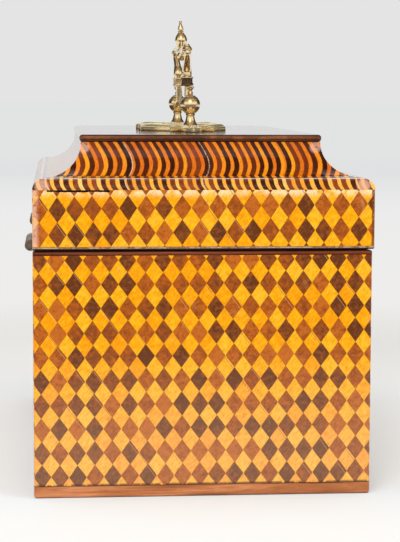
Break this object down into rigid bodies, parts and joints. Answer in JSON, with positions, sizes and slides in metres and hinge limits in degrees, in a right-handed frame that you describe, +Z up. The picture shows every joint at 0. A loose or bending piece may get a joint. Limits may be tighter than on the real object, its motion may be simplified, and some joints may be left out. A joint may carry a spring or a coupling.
{
  "type": "tea caddy",
  "caption": "Oblong tea caddy with lozenge parquetry, a hinged lid with hollow moulding, lidded tea compartments, a lock and a folding brass bail handle.",
  "frame": {"origin": "middle of the flat underside of the box, on the surface that it stands on", "axes": "+Z up; X along the length; -Y is the front with the keyhole, +Y the back with the hinges"},
  "size_m": [0.2408, 0.1444, 0.2007],
  "materials": {
    "parquetry_veneer": "glossy old varnish",
    "striped_moulding": "glossy old varnish",
    "mahogany": "polished",
    "carcase_wood": "plain",
    "cast_brass": "cast and polished, aged in the hollows",
    "aged_brass": "darkened",
    "hinge_steel": "dull"
  },
  "bodies": {
    "caddy_body": {"base_strip_back": "mahogany", "base_strip_front": "mahogany", "base_strip_left": "mahogany", "base_strip_right": "mahogany", "carcase_back": "carcase_wood", "carcase_bottom": "carcase_wood", "carcase_front": "carcase_wood", "carcase_left_end": "carcase_wood", "carcase_right_end": "carcase_wood", "escutcheon": "aged_brass", "hinge_lower_leaf_left": "aged_brass", "hinge_lower_leaf_right": "aged_brass", "hinge_pin_left": "hinge_steel", "hinge_pin_right": "hinge_steel", "lining_back": "mahogany", "lining_front": "mahogany", "lining_left": "mahogany", "lining_right": "mahogany", "lock_case": "aged_brass", "parquetry_back": "parquetry_veneer", "parquetry_front": "parquetry_veneer", "parquetry_left": "parquetry_veneer", "parquetry_right": "parquetry_veneer", "partition_left": "mahogany", "partition_right": "mahogany", "rim_band_back": "mahogany", "rim_band_front": "mahogany", "rim_band_left": "mahogany", "rim_band_right": "mahogany"},
    "lid": {"cavetto_back": "striped_moulding", "cavetto_front": "striped_moulding", "cavetto_left": "striped_moulding", "cavetto_right": "striped_moulding", "deck_panel": "mahogany", "handle_nuts": "cast_brass", "handle_plate": "cast_brass", "handle_post_left": "cast_brass", "handle_post_right": "cast_brass", "hinge_upper_leaf_left": "aged_brass", "hinge_upper_leaf_right": "aged_brass", "lid_back_board": "carcase_wood", "lid_front_board": "carcase_wood", "lid_left_end_board": "carcase_wood", "lid_parquetry_back": "parquetry_veneer", "lid_parquetry_front": "parquetry_veneer", "lid_parquetry_left": "parquetry_veneer", "lid_parquetry_right": "parquetry_veneer", "lid_right_end_board": "carcase_wood", "lid_top_board": "carcase_wood", "lock_hook_plate": "aged_brass", "ovolo_back": "striped_moulding", "ovolo_front": "striped_moulding", "ovolo_left": "striped_moulding", "ovolo_right": "striped_moulding"},
    "bail": {"bail": "cast_brass"},
    "lock_bolt": {"lock_bolt": "aged_brass"},
    "tea_lid_left": {"tea_lid_knob_left": "cast_brass", "tea_lid_left": "mahogany"},
    "tea_lid_right": {"tea_lid_knob_right": "cast_brass", "tea_lid_right": "mahogany"}
  },
  "joints": [
    {"name": "lid_hinge", "type": "hinge", "parent": "caddy_body", "child": "lid", "pos_m": [0, 0.0713, 0.1024], "axis": [-1, 0, 0], "range_deg": [0, 95]},
    {"name": "bail_pivot", "type": "hinge", "parent": "lid", "child": "bail", "pos_m": [0, -0.0004, 0.16158], "axis": [1, 0, 0], "range_deg": [-102.6, 107.4]},
    {"name": "bolt_slide", "type": "slide", "parent": "caddy_body", "child": "lock_bolt", "axis": [1, 0, 0], "range_m": [0, 0.003]},
    {"name": "tea_lid_lift_left", "type": "slide", "parent": "caddy_body", "child": "tea_lid_left", "axis": [0, 0, 1], "range_m": [0, 0.016]},
    {"name": "tea_lid_lift_right", "type": "slide", "parent": "caddy_body", "child": "tea_lid_right", "axis": [0, 0, 1], "range_m": [0, 0.016]}
  ]
}
